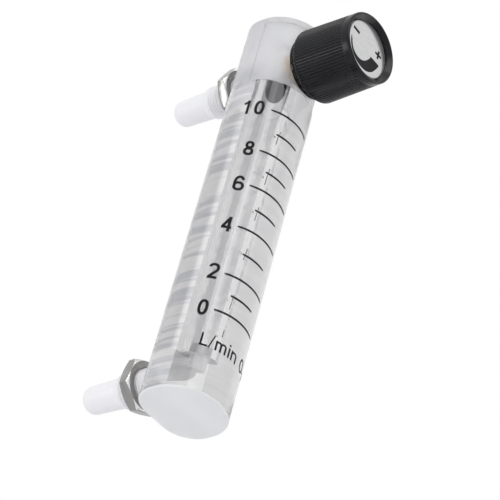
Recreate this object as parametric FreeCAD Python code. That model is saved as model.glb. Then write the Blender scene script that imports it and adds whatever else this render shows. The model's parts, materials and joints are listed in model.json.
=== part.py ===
import FreeCAD, Part
import math
import os

# Oxygen flowmeter for panel mounting, in millimetres.
# Origin: on the base, under the axis of the rounded front. +Z is up, the knob faces -Y and the hose
# nozzles point along +Y. Gas enters at the lower nozzle, lifts the float in a tapered bore and leaves
# past the needle valve by the upper nozzle.

# Usual clearances and roundings
FIT = 0.05                   # radial clearance of a turning or threaded fit
PRESS_FIT = 0.02
END_PLAY = 0.15              # between the inner end of a screwed-in piece and the floor it faces
RING_PLAY = 0.05             # between an O-ring and the faces beside it
EDGE = 0.2                   # rounding of a turned or moulded edge
THREAD_LEAD = 0.3            # rounding where a thread starts
TOOL_OVERRUN = 1.0           # how far a cutter starts outside a face
CUT_OVERLAP = 0.1            # how far one cut runs into the next

# Body: one block of clear acrylic, half round in front and flat at the back
FRONT_R = 12.5               # also half the body's width: the sides run on from the round front
BACK_DEPTH = 10.5            # from the vertical axis to the back face
BACK_CORNER_R = 9.1
BASE_DROP = 12.8             # from the inlet's axis down to the base
PORT_SPACING = 107.5
TOP_RISE = 14.7              # from the outlet's axis up to the top
BODY_CHAMFER = 0.4
HEAD_STEP = 0.4              # how deep the round front is turned down beside the valve
HEAD_BELOW = 10.8            # from the valve's axis down to that step's lower ledge
HEAD_ABOVE = 12.5            # from the valve's axis up to its upper ledge
HEAD_SIDE = 1.3              # the step ends this far in front of the vertical axis
SPOT_R = 9.6                 # round facing for the valve's collar
SPOT_DEPTH = 1.4             # from the front's crest to that facing

# Metering bore and float
BORE_FLOOR_RISE = 2.5        # from the inlet's axis to the step that carries the lower stop
FEED_R = 1.6                 # narrow end of the bore, under the lower stop
BORE_LOW_R = 3.15
BORE_HIGH_R = 3.6
FLOAT_R = 3.0
FLOAT_LENGTH = 6.6
FLOAT_NOSE_LENGTH = 2.4
FLOAT_NOSE_R = 1.5
FLOAT_NOSE_ROUND = 0.8
FLOAT_SHOULDER_ROUND = 1.6
FLOAT_RIM = 1.2              # height of the rim above the groove
FLOAT_GROOVE = 0.8
FLOAT_GROOVE_SLOPE = 0.4
FLOAT_WAIST = 0.35           # depth of that groove
FLOAT_STOP_GAP = 0.1         # between the raised float and the upper stop
LOWER_STOP_LENGTH = 2.9
UPPER_STOP_LENGTH = 1.6
STOP_HOLE_R = 1.0
STOP_EDGE = 0.15
STOP_FUNNEL = 0.6            # countersink the float's nose rests in
STOP_SLOT = 0.6              # width of the gas slots across both stops
LOWER_SLOT_DEPTH = 0.8
UPPER_SLOT_DEPTH = 0.5
TOP_BORE_R = 3.8             # plain bore above the metering bore, across the valve
STOP_CLEAR = 0.1             # between the upper stop and the valve chamber

# Top plug
PLUG_R = 4.0
PLUG_LENGTH = 6.0
PLUG_SPIGOT_R = 2.3
PLUG_SPIGOT_LENGTH = 1.85
PLUG_RIM_ROUND = 0.3
PLUG_RING_R = 0.8            # half thickness of the plug's O-ring
PLUG_SOCKET_FLATS = 3.0      # across the flats of the hex socket in the plug
PLUG_SOCKET_DEPTH = 2.5

# Hose fittings, screwed into the back of the body
STUD_R = 5.0
PORT_DEPTH = 5.2
STUD_REACH = 14.0            # from the back face to the end of the thread
STUD_END_ROUND = 0.5
STUD_NECK = 1.5              # taper from the thread down to the nozzle
NOZZLE_ROOT_ROUND = 0.8
NOZZLE_R = 4.35
NOZZLE_LENGTH = 13.3
NOZZLE_TIP_R = 2.2           # rounding of the free end
PASSAGE_R = 1.9
SPIGOT_R = 2.95
SPIGOT_LENGTH = 1.9
PORT_RING_R = 0.9            # half thickness of the port's O-ring

# Panel nuts
NUT_FLATS = 14.5
NUT_THICKNESS = 3.3
NUT_CHAMFER = 0.55
NUT_CHAMFER_WIDTH = 1.1
NUT_THREAD_CHAMFER = 0.35
INLET_NUT_GAP = 6.5          # from the back face to the lower nut
OUTLET_NUT_GAP = 3.5
INLET_NUT_TURN = 22.6        # degrees from a corner pointing sideways
OUTLET_NUT_TURN = 5.8

# Needle valve
BUSHING_R = 5.0
BUSHING_WALL = 0.6           # acrylic left between the bushing and the vertical bore
BUSHING_SET_BACK = 0.5       # of the bushing's end behind the collar's face
CHAMBER_R = 3.2
SEAT_LENGTH = 1.4
COLLAR_R = 9.4
COLLAR_RIM = 1.2             # thickness of the notched rim
COLLAR_HUB_R = 7.6           # narrower part the collar bears on the facing with
COLLAR_HUB = 0.9
COLLAR_ROUND = 0.6
COLLAR_NOTCHES = 24
COLLAR_NOTCH_R = 0.35
COLLAR_NOTCH_LENGTH = 0.9
STEM_R = 2.4
STEM_FLAT = 1.7              # from the stem's axis to the flat that drives it
STEM_FLAT_LENGTH = 11.0
STEM_NECK = 1.0              # the full stem ends this far inside the bushing
STEM_GROOVE_FIT = 0.03
STEM_RING_R = 0.46           # half thickness of the stem's O-ring
STEM_RING_DEPTH = 3.0        # from the bushing's inner end to the middle of that ring
NEEDLE_R = 1.6
NEEDLE_TIP_R = 0.35
NEEDLE_LENGTH = 4.0
NEEDLE_TIP_ROUND = 0.1
NEEDLE_PAST_SEAT = 1.9       # how far the closed needle's tip passes the seat's front
SEAT_FIT = 0.03
CLIP_R = 2.7
CLIP_THICKNESS = 0.5
CLIP_MOUTH = 1.9
CLIP_TO_NEEDLE = 4.1         # from the clip to the start of the taper

# Knob
KNOB_REAR_R = 11.25
KNOB_FRONT_R = 10.85
KNOB_LENGTH = 21.0
KNOB_GAP = 0.4               # between the collar and the closed knob
KNOB_WALL = 1.7
KNOB_WEB = 2.2               # thickness behind the disc
KNOB_BAND = 3.6              # smooth band in front of the ribs
KNOB_REAR_BEVEL = 1.1
KNOB_RIM_ROUND = 1.1
KNOB_DRAFT = 0.3             # how much the cavity narrows towards the web
KNOB_FILLET = 0.6
RIM_CHAMFER = 0.5            # round the disc's recess
RIB_HEIGHT = 0.32
RIB_PITCH = 0.8
RIB_OUTLINE = ((0.0, 0.0), (0.22, 0.0), (0.4, 1.0), (0.82, 1.0))  # share of the pitch, share of the height
HUB_R = 5.2
HUB_RELIEF = 0.5             # between the insert's end and the hub's
INSERT_R = 3.9
INSERT_EDGE = 0.4
INSERT_LENGTH = 12.0
INSERT_FLAT_SHORT = 2.0      # the insert's flat ends this far before the insert does
STEM_END_COVER = 1.5         # hub left in front of the stem's end
DISC_R = 8.85
DISC_THICKNESS = 0.6
DISC_EDGE = 0.15
DISC_DEPTH = 1.6             # from the rim's front to the disc's face

# Places worked out from the sizes above
INLET_Z = BASE_DROP
OUTLET_Z = INLET_Z + PORT_SPACING
TOP_Z = OUTLET_Z + TOP_RISE
SPOT_Y = SPOT_DEPTH - FRONT_R
BORE_FLOOR_Z = INLET_Z + BORE_FLOOR_RISE
UPPER_STEP_Z = OUTLET_Z - CHAMBER_R - UPPER_STOP_LENGTH - STOP_CLEAR
PLUG_SEAT_Z = TOP_Z - PLUG_LENGTH
PLUG_BORE_Z = PLUG_SEAT_Z - PLUG_SPIGOT_LENGTH - END_PLAY
PORT_FLOOR_Y = BACK_DEPTH - PORT_DEPTH
SEAT_FRONT_Y = PORT_FLOOR_Y - SEAT_LENGTH
BUSHING_IN_Y = -TOP_BORE_R - BUSHING_WALL
COLLAR_RIM_Y = SPOT_Y - COLLAR_HUB
COLLAR_FRONT_Y = COLLAR_RIM_Y - COLLAR_RIM
KNOB_REAR_Y = COLLAR_FRONT_Y - KNOB_GAP
KNOB_FRONT_Y = KNOB_REAR_Y - KNOB_LENGTH
DISC_FRONT_Y = KNOB_FRONT_Y + DISC_DEPTH
DISC_BACK_Y = DISC_FRONT_Y + DISC_THICKNESS
WEB_BACK_Y = DISC_BACK_Y + KNOB_WEB
STEM_FRONT_Y = DISC_BACK_Y + STEM_END_COVER
NEEDLE_TIP_Y = SEAT_FRONT_Y + NEEDLE_PAST_SEAT
NEEDLE_START_Y = NEEDLE_TIP_Y - NEEDLE_LENGTH
CLIP_Y = NEEDLE_START_Y - CLIP_TO_NEEDLE
STEM_RING_Y = BUSHING_IN_Y - STEM_RING_DEPTH

UP = FreeCAD.Vector(0, 0, 1)
BACK = FreeCAD.Vector(0, 1, 0)


def point(x, y, z=0.0):
    return FreeCAD.Vector(x, y, z)


def rounded_outline(corners):
    """A closed outline in a plane, from corners (u, v, rounding) placed as x = u, y = v."""
    edges = []
    cuts = []
    count = len(corners)
    for i, (u, v, r) in enumerate(corners):
        here = point(u, v)
        before = point(*corners[i - 1][:2])
        after = point(*corners[(i + 1) % count][:2])
        if r <= 0:
            cuts.append((here, None, here))
            continue
        to_before = (before - here).normalize()
        to_after = (after - here).normalize()
        half = to_before.getAngle(to_after) / 2
        reach = r / math.tan(half)
        inward = (to_before + to_after).normalize()
        middle = here + inward * (r / math.sin(half) - r)
        cuts.append((here + to_before * reach, middle, here + to_after * reach))
    for i, (start, middle, end) in enumerate(cuts):
        if middle is not None:
            edges.append(Part.Arc(start, middle, end).toShape())
        following = cuts[(i + 1) % count][0]
        if end.distanceToPoint(following) > 1e-6:
            edges.append(Part.LineSegment(end, following).toShape())
    return Part.Wire(edges)


def turned_on_y(corners, z):
    """A turned piece on the axis along Y at height z, from corners (radius, y, rounding)."""
    face = Part.Face(rounded_outline(corners))
    piece = face.revolve(point(0, 0, 0), BACK, 360)
    piece.translate(point(0, 0, z))
    return piece


def turned_on_z(corners):
    """A turned piece on the vertical axis, from corners (radius, z, rounding)."""
    face = Part.Face(rounded_outline(corners))
    piece = face.revolve(point(0, 0, 0), BACK, 360)
    piece.rotate(point(0, 0, 0), point(1, 0, 0), 90)
    return piece


def rod_y(radius, y_start, y_end, z):
    return Part.makeCylinder(radius, y_end - y_start, point(0, y_start, z), BACK)


def rod_z(radius, z_start, z_end):
    return Part.makeCylinder(radius, z_end - z_start, point(0, 0, z_start), UP)


def hexagon(flats, turn):
    """Six corners round the origin, the first one turned from the -X side."""
    corner_r = flats / math.sqrt(3)
    ring = []
    for k in range(7):
        a = math.radians(60 * k + turn)
        ring.append((-corner_r * math.cos(a), -corner_r * math.sin(a)))
    return ring


def body():
    corner_x = FRONT_R - BACK_CORNER_R
    corner_y = BACK_DEPTH - BACK_CORNER_R
    diagonal = BACK_CORNER_R * math.sqrt(0.5)
    left = point(-FRONT_R, 0)
    right = point(FRONT_R, 0)
    edges = [
        Part.Arc(left, point(0, -FRONT_R), right).toShape(),
        Part.LineSegment(right, point(FRONT_R, corner_y)).toShape(),
        Part.Arc(point(FRONT_R, corner_y),
                 point(corner_x + diagonal, corner_y + diagonal),
                 point(corner_x, BACK_DEPTH)).toShape(),
        Part.LineSegment(point(corner_x, BACK_DEPTH), point(-corner_x, BACK_DEPTH)).toShape(),
        Part.Arc(point(-corner_x, BACK_DEPTH),
                 point(-corner_x - diagonal, corner_y + diagonal),
                 point(-FRONT_R, corner_y)).toShape(),
        Part.LineSegment(point(-FRONT_R, corner_y), left).toShape(),
    ]
    block = Part.Face(Part.Wire(edges)).extrude(point(0, 0, TOP_Z))
    rims = [e for e in block.Edges if e.BoundBox.ZLength < 1e-6]
    block = block.makeChamfer(BODY_CHAMFER, rims)

    cuts = [
        head_step(),
        # Facing for the collar
        rod_y(SPOT_R, -FRONT_R - TOOL_OVERRUN, SPOT_Y, OUTLET_Z),
        # Vertical: feed hole, metering bore tapering open upwards, plain bore and plug thread
        rod_z(FEED_R, INLET_Z - PASSAGE_R, BORE_FLOOR_Z + CUT_OVERLAP),
        Part.makeCone(BORE_LOW_R, BORE_HIGH_R, UPPER_STEP_Z - BORE_FLOOR_Z, point(0, 0, BORE_FLOOR_Z), UP),
        rod_z(TOP_BORE_R, UPPER_STEP_Z, PLUG_BORE_Z + CUT_OVERLAP),
        rod_z(PLUG_R + FIT, PLUG_BORE_Z, TOP_Z + TOOL_OVERRUN),
        # Inlet: passage and threaded port
        rod_y(PASSAGE_R, 0, PORT_FLOOR_Y + CUT_OVERLAP, INLET_Z),
        rod_y(STUD_R + FIT, PORT_FLOOR_Y, BACK_DEPTH + TOOL_OVERRUN, INLET_Z),
        # Outlet: threaded port, seat and valve chamber, bushing thread
        rod_y(STUD_R + FIT, PORT_FLOOR_Y, BACK_DEPTH + TOOL_OVERRUN, OUTLET_Z),
        rod_y(CHAMBER_R, BUSHING_IN_Y - CUT_OVERLAP, PORT_FLOOR_Y + CUT_OVERLAP, OUTLET_Z),
        rod_y(BUSHING_R + FIT, SPOT_Y - TOOL_OVERRUN, BUSHING_IN_Y, OUTLET_Z),
    ]
    for tool in cuts:
        block = block.cut(tool)
    return block


def head_step():
    """What is turned off the round front beside the valve."""
    low = OUTLET_Z - HEAD_BELOW
    high = OUTLET_Z + HEAD_ABOVE
    outer = FRONT_R + TOOL_OVERRUN
    ring = rod_z(outer, low, high).cut(rod_z(FRONT_R - HEAD_STEP, low, high))
    front = Part.makeBox(2 * outer, outer - HEAD_SIDE, high - low, point(-outer, -outer, low))
    return ring.common(front)


def raised_float():
    """The float where the photograph shows it, at the top of its travel."""
    top = UPPER_STEP_Z - FLOAT_STOP_GAP
    bottom = top - FLOAT_LENGTH
    rim = top - FLOAT_RIM
    groove_top = rim - FLOAT_GROOVE_SLOPE
    groove_bottom = groove_top - FLOAT_GROOVE
    groove = FLOAT_R - FLOAT_WAIST
    return turned_on_z([
        (0, bottom, 0),
        (FLOAT_NOSE_R, bottom, FLOAT_NOSE_ROUND),
        (FLOAT_R, bottom + FLOAT_NOSE_LENGTH, FLOAT_SHOULDER_ROUND),
        (FLOAT_R, groove_bottom - FLOAT_GROOVE_SLOPE, 0),
        (groove, groove_bottom, 0),
        (groove, groove_top, 0),
        (FLOAT_R, rim, 0),
        (FLOAT_R, top, EDGE),
        (0, top, 0),
    ])


def lower_stop():
    top = BORE_FLOOR_Z + LOWER_STOP_LENGTH
    ring = turned_on_z([
        (STOP_HOLE_R, BORE_FLOOR_Z, 0),
        (BORE_LOW_R - FIT, BORE_FLOOR_Z, STOP_EDGE),
        (BORE_LOW_R - FIT, top, 0),
        (STOP_HOLE_R + STOP_FUNNEL, top, 0),
        (STOP_HOLE_R, top - STOP_FUNNEL, 0),
    ])
    slot = Part.makeBox(2 * BORE_LOW_R, STOP_SLOT, LOWER_SLOT_DEPTH,
                        point(-BORE_LOW_R, -STOP_SLOT / 2, top - LOWER_SLOT_DEPTH))
    return ring.cut(slot)


def upper_stop():
    top = UPPER_STEP_Z + UPPER_STOP_LENGTH
    ring = turned_on_z([
        (STOP_HOLE_R, UPPER_STEP_Z, 0),
        (TOP_BORE_R - FIT, UPPER_STEP_Z, STOP_EDGE),
        (TOP_BORE_R - FIT, top, STOP_EDGE),
        (STOP_HOLE_R, top, 0),
    ])
    slot = Part.makeBox(2 * TOP_BORE_R, STOP_SLOT, UPPER_SLOT_DEPTH,
                        point(-TOP_BORE_R, -STOP_SLOT / 2, UPPER_STEP_Z))
    return ring.cut(slot)


def top_plug():
    inner = PLUG_SEAT_Z - PLUG_SPIGOT_LENGTH
    plug = turned_on_z([
        (0, inner, 0),
        (PLUG_SPIGOT_R, inner, EDGE),
        (PLUG_SPIGOT_R, PLUG_SEAT_Z, 0),
        (PLUG_R, PLUG_SEAT_Z, EDGE),
        (PLUG_R, TOP_Z, PLUG_RIM_ROUND),
        (0, TOP_Z, 0),
    ])
    ring = [point(x, y, TOP_Z - PLUG_SOCKET_DEPTH) for x, y in hexagon(PLUG_SOCKET_FLATS, 0)]
    socket = Part.Face(Part.makePolygon(ring)).extrude(point(0, 0, PLUG_SOCKET_DEPTH + TOOL_OVERRUN))
    return plug.cut(socket)


def top_plug_oring():
    middle = PLUG_SPIGOT_R + RING_PLAY + PLUG_RING_R
    return Part.makeTorus(middle, PLUG_RING_R, point(0, 0, PLUG_SEAT_Z - PLUG_RING_R - RING_PLAY), UP)


def hose_fitting(z):
    inner = PORT_FLOOR_Y + END_PLAY
    shoulder = inner + SPIGOT_LENGTH
    thread_end = BACK_DEPTH + STUD_REACH
    nozzle_start = thread_end + STUD_NECK
    tip = nozzle_start + NOZZLE_LENGTH
    return turned_on_y([
        (PASSAGE_R, inner, 0),
        (SPIGOT_R, inner, EDGE),
        (SPIGOT_R, shoulder, 0),
        (STUD_R, shoulder, THREAD_LEAD),
        (STUD_R, thread_end, STUD_END_ROUND),
        (NOZZLE_R, nozzle_start, NOZZLE_ROOT_ROUND),
        (NOZZLE_R, tip, NOZZLE_TIP_R),
        (PASSAGE_R, tip, EDGE),
    ], z)


def port_oring(z):
    middle = SPIGOT_R + RING_PLAY + PORT_RING_R
    return Part.makeTorus(middle, PORT_RING_R, point(0, PORT_FLOOR_Y + PORT_RING_R + RING_PLAY, z), BACK)


def panel_nut(z, gap, turn):
    front = BACK_DEPTH + gap
    rear = front + NUT_THICKNESS
    corner_r = NUT_FLATS / math.sqrt(3)
    inner = STUD_R + FIT
    ring = [point(x, front, zz) for x, zz in hexagon(NUT_FLATS, turn)]
    blank = Part.Face(Part.makePolygon(ring)).extrude(point(0, NUT_THICKNESS, 0))
    blank.translate(point(0, 0, z))
    envelope = turned_on_y([
        (inner + NUT_THREAD_CHAMFER, front, 0),
        (corner_r - NUT_CHAMFER_WIDTH, front, 0),
        (corner_r + FIT, front + NUT_CHAMFER, 0),
        (corner_r + FIT, rear - NUT_CHAMFER, 0),
        (corner_r - NUT_CHAMFER_WIDTH, rear, 0),
        (inner + NUT_THREAD_CHAMFER, rear, 0),
        (inner, rear - NUT_THREAD_CHAMFER, 0),
        (inner, front + NUT_THREAD_CHAMFER, 0),
    ], z)
    return blank.common(envelope)


def valve_bushing():
    outer = COLLAR_FRONT_Y + BUSHING_SET_BACK
    return turned_on_y([
        (STEM_R + FIT, BUSHING_IN_Y, 0),
        (BUSHING_R, BUSHING_IN_Y, THREAD_LEAD),
        (BUSHING_R, outer, THREAD_LEAD),
        (STEM_R + FIT, outer, 0),
    ], OUTLET_Z)


def bushing_collar():
    """Round locking collar on the bushing, with grip notches round its edge."""
    ring = turned_on_y([
        (BUSHING_R + FIT, SPOT_Y, 0),
        (COLLAR_HUB_R, SPOT_Y, 0),
        (COLLAR_HUB_R, COLLAR_RIM_Y, 0),
        (COLLAR_R, COLLAR_RIM_Y, 0),
        (COLLAR_R, COLLAR_FRONT_Y, COLLAR_ROUND),
        (BUSHING_R + FIT, COLLAR_FRONT_Y, 0),
    ], OUTLET_Z)
    notches = []
    for k in range(COLLAR_NOTCHES):
        a = math.radians(360 * k / COLLAR_NOTCHES)
        start = point(COLLAR_R * math.cos(a), COLLAR_FRONT_Y - TOOL_OVERRUN, OUTLET_Z + COLLAR_R * math.sin(a))
        notches.append(Part.makeCylinder(COLLAR_NOTCH_R, COLLAR_NOTCH_LENGTH + TOOL_OVERRUN, start, BACK))
    return ring.cut(notches)


def valve_seat():
    seal_r = needle_radius(SEAT_FRONT_Y) + SEAT_FIT
    outer_r = CHAMBER_R - PRESS_FIT
    return turned_on_y([
        (seal_r, SEAT_FRONT_Y, 0),
        (outer_r, SEAT_FRONT_Y, EDGE),
        (outer_r, PORT_FLOOR_Y, 0),
        (seal_r, PORT_FLOOR_Y, 0),
    ], OUTLET_Z)


def needle_radius(y):
    share = (y - NEEDLE_START_Y) / NEEDLE_LENGTH
    return NEEDLE_R + (NEEDLE_TIP_R - NEEDLE_R) * share


def needle_stem():
    groove_r = STEM_R - 2 * STEM_RING_R - STEM_GROOVE_FIT
    half_groove = STEM_RING_R + RING_PLAY
    neck_y = BUSHING_IN_Y - STEM_NECK
    stem = turned_on_y([
        (0, STEM_FRONT_Y, 0),
        (STEM_R, STEM_FRONT_Y, EDGE),
        (STEM_R, STEM_RING_Y - half_groove, 0),
        (groove_r, STEM_RING_Y - half_groove, 0),
        (groove_r, STEM_RING_Y + half_groove, 0),
        (STEM_R, STEM_RING_Y + half_groove, 0),
        (STEM_R, neck_y, 0),
        (NEEDLE_R, neck_y + STEM_R - NEEDLE_R, 0),
        (NEEDLE_R, NEEDLE_START_Y, 0),
        (NEEDLE_TIP_R, NEEDLE_TIP_Y, NEEDLE_TIP_ROUND),
        (0, NEEDLE_TIP_Y, 0),
    ], OUTLET_Z)
    flat_cut = Part.makeBox(2 * STEM_R, STEM_FLAT_LENGTH + TOOL_OVERRUN, STEM_R,
                            point(-STEM_R, STEM_FRONT_Y - TOOL_OVERRUN, OUTLET_Z + STEM_FLAT))
    return stem.cut(flat_cut)


def stem_oring():
    middle = STEM_R - STEM_RING_R - PRESS_FIT / 2
    return Part.makeTorus(middle, STEM_RING_R, point(0, STEM_RING_Y, OUTLET_Z), BACK)


def stem_clip():
    """Open spring clip behind the bushing, which keeps the stem from being wound out."""
    ring = rod_y(CLIP_R, CLIP_Y, CLIP_Y + CLIP_THICKNESS, OUTLET_Z)
    ring = ring.cut(rod_y(NEEDLE_R, CLIP_Y - TOOL_OVERRUN, CLIP_Y + CLIP_THICKNESS + TOOL_OVERRUN, OUTLET_Z))
    mouth = Part.makeBox(CLIP_MOUTH, CLIP_THICKNESS + 2 * TOOL_OVERRUN, CLIP_R + TOOL_OVERRUN,
                         point(-CLIP_MOUTH / 2, CLIP_Y - TOOL_OVERRUN, OUTLET_Z))
    return ring.cut(mouth)


def knob_insert():
    """Moulded-in brass sleeve with a flat that drives the stem."""
    front = STEM_FRONT_Y
    sleeve = turned_on_y([
        (0, front, 0),
        (INSERT_R, front, INSERT_EDGE),
        (INSERT_R, front + INSERT_LENGTH, INSERT_EDGE),
        (0, front + INSERT_LENGTH, 0),
    ], OUTLET_Z)
    socket = rod_y(STEM_R + PRESS_FIT, front - TOOL_OVERRUN, front + INSERT_LENGTH + TOOL_OVERRUN, OUTLET_Z)
    flat_key = Part.makeBox(2 * STEM_R + TOOL_OVERRUN, INSERT_LENGTH - INSERT_FLAT_SHORT + CUT_OVERLAP, STEM_R,
                            point(-STEM_R - TOOL_OVERRUN / 2, front - CUT_OVERLAP, OUTLET_Z + STEM_FLAT + FIT))
    return sleeve.cut(socket.cut(flat_key))


def ribbed_ring(y, crest_r, count, z):
    """Outline round the knob at y: one trapezoid rib for each step of the count."""
    ring = []
    for k in range(count):
        for share, lift in RIB_OUTLINE:
            a = 2 * math.pi * (k + share) / count
            r = (crest_r - RIB_HEIGHT) + RIB_HEIGHT * lift
            ring.append(point(r * math.cos(a), y, z + r * math.sin(a)))
    ring.append(ring[0])
    return Part.makePolygon(ring)


def knob():
    """Moulded knob: ribbed skirt, smooth rim, hub for the sleeve and a recess for the disc."""
    count = round(2 * math.pi * KNOB_REAR_R / RIB_PITCH)
    band_y = KNOB_FRONT_Y + KNOB_BAND
    bevel_y = KNOB_REAR_Y - KNOB_REAR_BEVEL
    taper = (KNOB_REAR_R - KNOB_FRONT_R) / KNOB_LENGTH
    band_r = KNOB_FRONT_R + taper * KNOB_BAND
    rings = [
        ribbed_ring(KNOB_REAR_Y, KNOB_REAR_R - KNOB_REAR_BEVEL, count, OUTLET_Z),
        ribbed_ring(bevel_y, KNOB_REAR_R, count, OUTLET_Z),
        ribbed_ring(band_y, band_r, count, OUTLET_Z),
    ]
    skirt = Part.makeLoft(rings, True, True)
    rim_in_y = band_y + 5 * CUT_OVERLAP
    rim = turned_on_y([
        (0, rim_in_y, 0),
        (band_r - RIB_HEIGHT * 1.5, rim_in_y, 0),
        (band_r, band_y, EDGE),
        (KNOB_FRONT_R, KNOB_FRONT_Y, KNOB_RIM_ROUND),
        (0, KNOB_FRONT_Y, 0),
    ], OUTLET_Z)
    solid = skirt.fuse(rim)
    recess_r = DISC_R + FIT
    recess = turned_on_y([
        (0, DISC_BACK_Y, 0),
        (recess_r, DISC_BACK_Y, 0),
        (recess_r, KNOB_FRONT_Y + RIM_CHAMFER, 0),
        (recess_r + RIM_CHAMFER + CUT_OVERLAP, KNOB_FRONT_Y - CUT_OVERLAP, 0),
        (0, KNOB_FRONT_Y - CUT_OVERLAP, 0),
    ], OUTLET_Z)
    outside_y = KNOB_REAR_Y + TOOL_OVERRUN
    inner_rear_r = KNOB_REAR_R - RIB_HEIGHT - KNOB_WALL - KNOB_REAR_BEVEL
    cavity = turned_on_y([
        (HUB_R, outside_y, 0),
        (inner_rear_r, outside_y, 0),
        (inner_rear_r - KNOB_DRAFT, WEB_BACK_Y, KNOB_FILLET),
        (HUB_R + KNOB_DRAFT, WEB_BACK_Y, KNOB_FILLET),
    ], OUTLET_Z)
    insert_end = STEM_FRONT_Y + INSERT_LENGTH
    hub_relief = rod_y(HUB_R + KNOB_DRAFT, insert_end + HUB_RELIEF, outside_y, OUTLET_Z)
    stem_hole = rod_y(STEM_R + FIT, insert_end - CUT_OVERLAP, outside_y, OUTLET_Z)
    sleeve_hole = rod_y(INSERT_R + PRESS_FIT / 2, STEM_FRONT_Y, insert_end, OUTLET_Z)
    for tool in (recess, cavity, hub_relief, stem_hole, sleeve_hole):
        solid = solid.cut(tool)
    return solid


def knob_disc():
    return turned_on_y([
        (0, DISC_FRONT_Y, 0),
        (DISC_R, DISC_FRONT_Y, DISC_EDGE),
        (DISC_R, DISC_BACK_Y, 0),
        (0, DISC_BACK_Y, 0),
    ], OUTLET_Z)


PIECES = {
    "body": body,
    "float": raised_float,
    "lower_stop": lower_stop,
    "upper_stop": upper_stop,
    "top_plug": top_plug,
    "top_plug_oring": top_plug_oring,
    "inlet_fitting": lambda: hose_fitting(INLET_Z),
    "inlet_oring": lambda: port_oring(INLET_Z),
    "inlet_nut": lambda: panel_nut(INLET_Z, INLET_NUT_GAP, INLET_NUT_TURN),
    "outlet_fitting": lambda: hose_fitting(OUTLET_Z),
    "outlet_oring": lambda: port_oring(OUTLET_Z),
    "outlet_nut": lambda: panel_nut(OUTLET_Z, OUTLET_NUT_GAP, OUTLET_NUT_TURN),
    "valve_bushing": valve_bushing,
    "bushing_collar": bushing_collar,
    "valve_seat": valve_seat,
    "needle_stem": needle_stem,
    "stem_oring": stem_oring,
    "stem_clip": stem_clip,
    "knob_insert": knob_insert,
    "knob": knob,
    "knob_disc": knob_disc,
}

os.makedirs("parts", exist_ok=True)
for name, make in PIECES.items():
    shape = make()
    print(name, shape.ShapeType, len(shape.Solids), shape.isValid(), round(shape.Volume, 2))
    shape.exportStep("parts/" + name + ".step")
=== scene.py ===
import json
import math

import bmesh
import bpy
from mathutils import Matrix, Vector


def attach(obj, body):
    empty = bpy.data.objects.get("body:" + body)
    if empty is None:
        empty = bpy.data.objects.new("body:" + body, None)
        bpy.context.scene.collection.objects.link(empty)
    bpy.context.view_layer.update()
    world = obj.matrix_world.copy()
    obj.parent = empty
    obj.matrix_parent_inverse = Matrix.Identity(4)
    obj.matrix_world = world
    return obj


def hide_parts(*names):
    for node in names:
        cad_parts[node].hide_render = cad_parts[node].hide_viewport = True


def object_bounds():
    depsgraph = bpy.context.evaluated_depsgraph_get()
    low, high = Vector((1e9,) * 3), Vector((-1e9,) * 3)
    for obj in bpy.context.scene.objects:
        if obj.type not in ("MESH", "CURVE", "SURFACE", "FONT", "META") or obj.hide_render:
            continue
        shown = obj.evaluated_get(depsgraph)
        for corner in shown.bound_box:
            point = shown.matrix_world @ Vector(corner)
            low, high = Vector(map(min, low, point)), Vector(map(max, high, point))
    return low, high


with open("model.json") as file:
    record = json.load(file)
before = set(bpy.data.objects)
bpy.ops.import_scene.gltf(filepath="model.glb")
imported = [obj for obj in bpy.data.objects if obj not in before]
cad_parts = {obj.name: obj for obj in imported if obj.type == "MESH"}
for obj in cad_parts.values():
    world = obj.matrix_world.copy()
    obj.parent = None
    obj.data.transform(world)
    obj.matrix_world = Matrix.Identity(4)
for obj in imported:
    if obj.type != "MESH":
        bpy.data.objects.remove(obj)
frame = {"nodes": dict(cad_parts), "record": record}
cad_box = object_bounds()

MM = 0.001

# Main sizes in millimetres, from the outer box of the solids
box_low, box_high = ([round(c / MM, 3) for c in corner] for corner in cad_box)
FRONT_R = box_high[0]
TOP_Z = box_high[2]
TIP_Y = box_high[1]
KNOB_FRONT_Y = box_low[1]

# Body block: half round in front, flat on both sides, with rounded corners at the back
BACK_Y = 10.5
BACK_CORNER_R = 9.1
FLAT_START = 0.04
FRONT_STEPS = 160
CORNER_STEPS = 48
CHAMFER = 0.4
INLET_Z = 12.8
OUTLET_Z = 120.3

# Head: turned a little smaller in front, and faced flat for the valve's collar
HEAD_STEP = 0.4
HEAD_LOW_Z = 109.5
HEAD_HIGH_Z = 132.8
HEAD_SIDE = 1.3
HEAD_STEPS = 200
FACING_R = 9.6
FACING_Y = -11.1
FACING_START_Y = -16.0

# Vertical bore: a cross hole from the inlet, the tapered bore of the float, and a stepped assembly hole
CROSS_HOLE_R = 1.6
BORE_FLOOR_Z = 15.24
BORE_LOW_R = 3.15
BORE_HIGH_R = 3.6
BORE_TOP_Z = 115.4
STOP_SEAT_R = 3.8
PLUG_LEDGE_Z = 127.0
PLUG_SEAT_R = 4.05
CUT_OVERRUN = 1.0

# Ports at the back and the valve's hole in front
STUD_R = 5.0
THREAD_FIT = 0.05
PORT_R = STUD_R + THREAD_FIT
PORT_FLOOR_Y = 5.3
PORT_THREAD = (6.5, 10.1)
PASSAGE_R = 1.9
VALVE_BORE_R = 3.2
VALVE_BORE_Y = -4.4
VALVE_THREAD = (-10.6, -5.0)
PORT_THREAD_DEPTH = 0.3
PORT_THREAD_STEP = 0.12

# Threads: a groove with a flat floor and sloping flanks, that fades in and out at its ends
THREAD_PITCH = 1.0
THREAD_DEPTH = 0.5
THREAD_FLOOR = 1.15
THREAD_FLANK = 2.6
THREAD_RUNOUT = 0.6
THREAD_STEP = 0.1

# Small roundings of moulded and turned edges
EDGE_ROUND = 0.2
SHARP_ROUND = 0.05

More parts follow.
